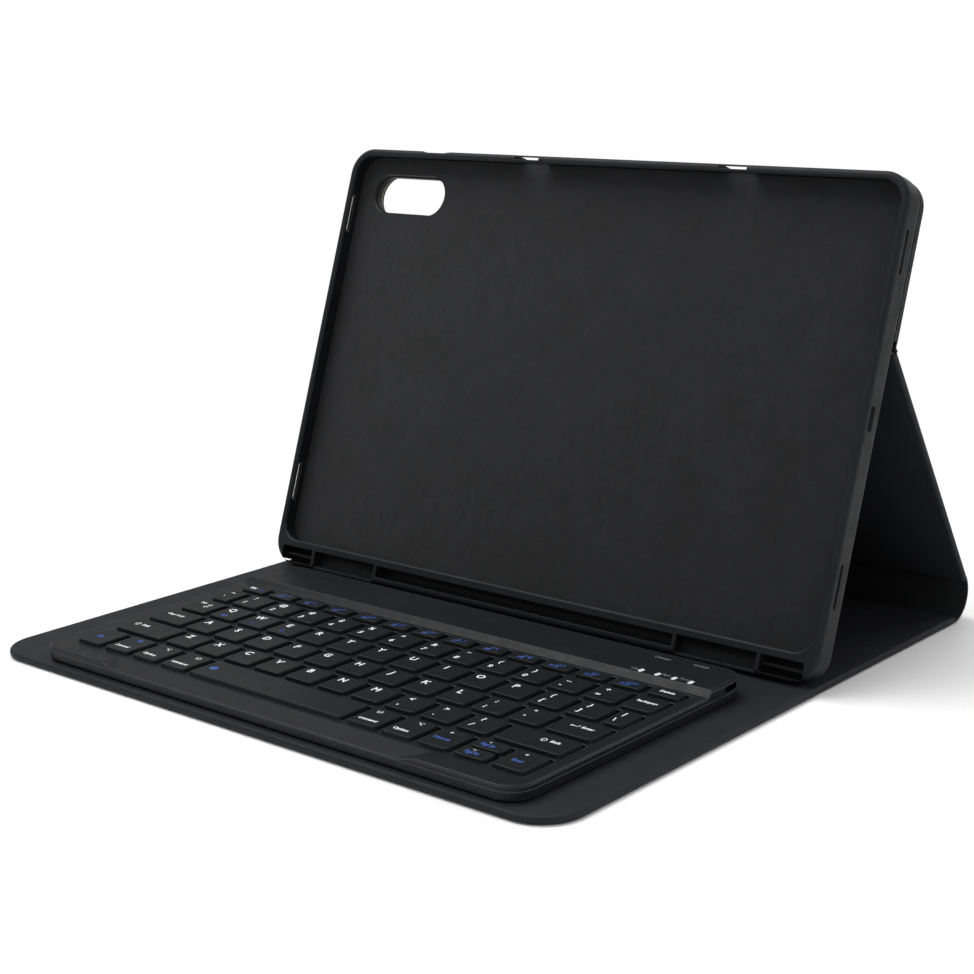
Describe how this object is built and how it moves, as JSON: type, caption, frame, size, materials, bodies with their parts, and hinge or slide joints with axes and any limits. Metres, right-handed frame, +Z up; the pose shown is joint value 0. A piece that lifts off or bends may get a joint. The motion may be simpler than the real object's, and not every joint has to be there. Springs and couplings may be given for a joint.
{
  "type": "tablet keyboard case",
  "caption": "Folding tablet case with a leaning tray on a folding leg, a hidden stylus holder, and a detachable low keyboard with a raised rear bar.",
  "frame": {"origin": "on the table, under the middle of the case as it stands open", "axes": "+X to the right as the user sees it, +Y from the front edge to the spine at the rear, +Z up"},
  "size_m": [0.29, 0.2894, 0.1921],
  "materials": {
    "cover_leather": "fine-grained synthetic leather, matte",
    "soft_lining": "smooth dark grey lining with a fine grain, matte",
    "stiff_board": "grey pressed board",
    "magnet": "plated",
    "adhesive": "tacky film",
    "tray_rubber": "satin moulded elastomer",
    "tray_fleece": "short microfibre nap",
    "shell": "fine texture, satin",
    "key_plastic": "satin, printed",
    "plate_metal": "mill",
    "membrane": "printed film",
    "dome_rubber": "soft",
    "battery_pouch": "laminated pouch",
    "board_laminate": "solder mask",
    "port_metal": "plated",
    "light_lens": "frosted",
    "screw_steel": "blackened",
    "feet_rubber": "matte",
    "switch_plastic": "satin"
  },
  "bodies": {
    "base": {"base_cover": "cover_leather", "base_board": "stiff_board", "base_lining": "soft_lining", "base_magnets": "magnet", "spine_leather": "cover_leather"},
    "leg": {"leg_cover": "cover_leather", "leg_board": "stiff_board", "leg_lining": "soft_lining", "fold_leather": "cover_leather"},
    "tray": {"upper_cover": "cover_leather", "upper_board": "stiff_board", "upper_lining": "soft_lining", "adhesive_sheet": "adhesive", "tablet_tray": "tray_rubber", "tray_pad": "tray_fleece", "tray_magnets": "magnet"},
    "keyboard": {"keyboard_case": "shell", "keyboard_deck": "shell", "keyboard_plate": "plate_metal", "key_membrane": "membrane", "key_domes": "dome_rubber", "keyboard_magnets": "magnet", "battery": "battery_pouch", "circuit_board": "board_laminate", "charging_port": "port_metal", "status_lights": "light_lens", "case_screws": "screw_steel", "rubber_feet": "feet_rubber"},
    "power_slider": {"power_switch": "switch_plastic"},
    "escape_key": {"escape_key": "key_plastic"},
    "function_keys": {"function_keys": "key_plastic"},
    "delete_key": {"delete_key": "key_plastic"},
    "accent_key": {"accent_key": "key_plastic"},
    "number_keys": {"number_keys": "key_plastic"},
    "backspace_key": {"backspace_key": "key_plastic"},
    "tab_key": {"tab_key": "key_plastic"},
    "upper_letter_keys": {"upper_letter_keys": "key_plastic"},
    "backslash_key": {"backslash_key": "key_plastic"},
    "caps_lock_key": {"caps_lock_key": "key_plastic"},
    "middle_letter_keys": {"middle_letter_keys": "key_plastic"},
    "enter_key": {"enter_key": "key_plastic"},
    "left_shift_key": {"left_shift_key": "key_plastic"},
    "lower_letter_keys": {"lower_letter_keys": "key_plastic"},
    "right_shift_key": {"right_shift_key": "key_plastic"},
    "fn_key": {"fn_key": "key_plastic"},
    "left_control_key": {"left_control_key": "key_plastic"},
    "left_option_key": {"left_option_key": "key_plastic"},
    "left_command_key": {"left_command_key": "key_plastic"},
    "space_key": {"space_bar": "key_plastic"},
    "right_command_key": {"right_command_key": "key_plastic"},
    "right_option_key": {"right_option_key": "key_plastic"},
    "home_key": {"home_key": "key_plastic"},
    "page_up_key": {"page_up_key": "key_plastic"},
    "page_down_key": {"page_down_key": "key_plastic"},
    "end_key": {"end_key": "key_plastic"}
  },
  "joints": [
    {"name": "stand_fold", "type": "hinge", "parent": "base", "child": "leg", "pos_m": [0, 0.14573, 0.00509], "axis": [-1, 0, 0], "range_deg": [0, 123.98], "deforming": ["spine_leather"]},
    {"name": "shell_fold", "type": "hinge", "parent": "leg", "child": "tray", "pos_m": [0, 0.07026, 0.1262], "axis": [1, 0, 0], "range_deg": [0, 52.55], "deforming": ["fold_leather"]},
    {"name": "keyboard_lift", "type": "slide", "parent": "base", "child": "keyboard", "axis": [0, 0, 1], "range_m": [0, 0.04]},
    {"name": "power_slide", "type": "slide", "parent": "keyboard", "child": "power_slider", "axis": [0, 1, 0], "range_m": [0, 0.0024]},
    {"name": "escape_key_press", "type": "slide", "parent": "keyboard", "child": "escape_key", "axis": [0, 0, -1], "range_m": [0, 0.0012], "stiffness_N_per_m": 150, "springref_m": -0.0015, "deforming": ["key_domes"]},
    {"name": "function_row_press", "type": "slide", "parent": "keyboard", "child": "function_keys", "axis": [0, 0, -1], "range_m": [0, 0.0012], "stiffness_N_per_m": 500, "springref_m": -0.0015, "deforming": ["key_domes"]},
    {"name": "delete_key_press", "type": "slide", "parent": "keyboard", "child": "delete_key", "axis": [0, 0, -1], "range_m": [0, 0.0012], "stiffness_N_per_m": 150, "springref_m": -0.0015, "deforming": ["key_domes"]},
    {"name": "accent_key_press", "type": "slide", "parent": "keyboard", "child": "accent_key", "axis": [0, 0, -1], "range_m": [0, 0.0012], "stiffness_N_per_m": 150, "springref_m": -0.0015, "deforming": ["key_domes"]},
    {"name": "number_row_press", "type": "slide", "parent": "keyboard", "child": "number_keys", "axis": [0, 0, -1], "range_m": [0, 0.0012], "stiffness_N_per_m": 500, "springref_m": -0.0015, "deforming": ["key_domes"]},
    {"name": "backspace_key_press", "type": "slide", "parent": "keyboard", "child": "backspace_key", "axis": [0, 0, -1], "range_m": [0, 0.0012], "stiffness_N_per_m": 150, "springref_m": -0.0015, "deforming": ["key_domes"]},
    {"name": "tab_key_press", "type": "slide", "parent": "keyboard", "child": "tab_key", "axis": [0, 0, -1], "range_m": [0, 0.0012], "stiffness_N_per_m": 150, "springref_m": -0.0015, "deforming": ["key_domes"]},
    {"name": "upper_letter_row_press", "type": "slide", "parent": "keyboard", "child": "upper_letter_keys", "axis": [0, 0, -1], "range_m": [0, 0.0012], "stiffness_N_per_m": 500, "springref_m": -0.0015, "deforming": ["key_domes"]},
    {"name": "backslash_key_press", "type": "slide", "parent": "keyboard", "child": "backslash_key", "axis": [0, 0, -1], "range_m": [0, 0.0012], "stiffness_N_per_m": 150, "springref_m": -0.0015, "deforming": ["key_domes"]},
    {"name": "caps_lock_key_press", "type": "slide", "parent": "keyboard", "child": "caps_lock_key", "axis": [0, 0, -1], "range_m": [0, 0.0012], "stiffness_N_per_m": 150, "springref_m": -0.0015, "deforming": ["key_domes"]},
    {"name": "middle_letter_row_press", "type": "slide", "parent": "keyboard", "child": "middle_letter_keys", "axis": [0, 0, -1], "range_m": [0, 0.0012], "stiffness_N_per_m": 500, "springref_m": -0.0015, "deforming": ["key_domes"]},
    {"name": "enter_key_press", "type": "slide", "parent": "keyboard", "child": "enter_key", "axis": [0, 0, -1], "range_m": [0, 0.0012], "stiffness_N_per_m": 150, "springref_m": -0.0015, "deforming": ["key_domes"]},
    {"name": "left_shift_key_press", "type": "slide", "parent": "keyboard", "child": "left_shift_key", "axis": [0, 0, -1], "range_m": [0, 0.0012], "stiffness_N_per_m": 150, "springref_m": -0.0015, "deforming": ["key_domes"]},
    {"name": "lower_letter_row_press", "type": "slide", "parent": "keyboard", "child": "lower_letter_keys", "axis": [0, 0, -1], "range_m": [0, 0.0012], "stiffness_N_per_m": 500, "springref_m": -0.0015, "deforming": ["key_domes"]},
    {"name": "right_shift_key_press", "type": "slide", "parent": "keyboard", "child": "right_shift_key", "axis": [0, 0, -1], "range_m": [0, 0.0012], "stiffness_N_per_m": 150, "springref_m": -0.0015, "deforming": ["key_domes"]},
    {"name": "fn_key_press", "type": "slide", "parent": "keyboard", "child": "fn_key", "axis": [0, 0, -1], "range_m": [0, 0.0012], "stiffness_N_per_m": 150, "springref_m": -0.0015, "deforming": ["key_domes"]},
    {"name": "left_control_key_press", "type": "slide", "parent": "keyboard", "child": "left_control_key", "axis": [0, 0, -1], "range_m": [0, 0.0012], "stiffness_N_per_m": 150, "springref_m": -0.0015, "deforming": ["key_domes"]},
    {"name": "left_option_key_press", "type": "slide", "parent": "keyboard", "child": "left_option_key", "axis": [0, 0, -1], "range_m": [0, 0.0012], "stiffness_N_per_m": 150, "springref_m": -0.0015, "deforming": ["key_domes"]},
    {"name": "left_command_key_press", "type": "slide", "parent": "keyboard", "child": "left_command_key", "axis": [0, 0, -1], "range_m": [0, 0.0012], "stiffness_N_per_m": 150, "springref_m": -0.0015, "deforming": ["key_domes"]},
    {"name": "space_bar_press", "type": "slide", "parent": "keyboard", "child": "space_key", "axis": [0, 0, -1], "range_m": [0, 0.0012], "stiffness_N_per_m": 150, "springref_m": -0.0015, "deforming": ["key_domes"]},
    {"name": "right_command_key_press", "type": "slide", "parent": "keyboard", "child": "right_command_key", "axis": [0, 0, -1], "range_m": [0, 0.0012], "stiffness_N_per_m": 150, "springref_m": -0.0015, "deforming": ["key_domes"]},
    {"name": "right_option_key_press", "type": "slide", "parent": "keyboard", "child": "right_option_key", "axis": [0, 0, -1], "range_m": [0, 0.0012], "stiffness_N_per_m": 150, "springref_m": -0.0015, "deforming": ["key_domes"]},
    {"name": "home_key_press", "type": "slide", "parent": "keyboard", "child": "home_key", "axis": [0, 0, -1], "range_m": [0, 0.0012], "stiffness_N_per_m": 150, "springref_m": -0.0015, "deforming": ["key_domes"]},
    {"name": "page_up_key_press", "type": "slide", "parent": "keyboard", "child": "page_up_key", "axis": [0, 0, -1], "range_m": [0, 0.0012], "stiffness_N_per_m": 150, "springref_m": -0.0015, "deforming": ["key_domes"]},
    {"name": "page_down_key_press", "type": "slide", "parent": "keyboard", "child": "page_down_key", "axis": [0, 0, -1], "range_m": [0, 0.0012], "stiffness_N_per_m": 150, "springref_m": -0.0015, "deforming": ["key_domes"]},
    {"name": "end_key_press", "type": "slide", "parent": "keyboard", "child": "end_key", "axis": [0, 0, -1], "range_m": [0, 0.0012], "stiffness_N_per_m": 150, "springref_m": -0.0015, "deforming": ["key_domes"]}
  ],
  "couplings": [
    {"joint": "shell_fold", "follows": "stand_fold", "ratio": 0.42377}
  ]
}
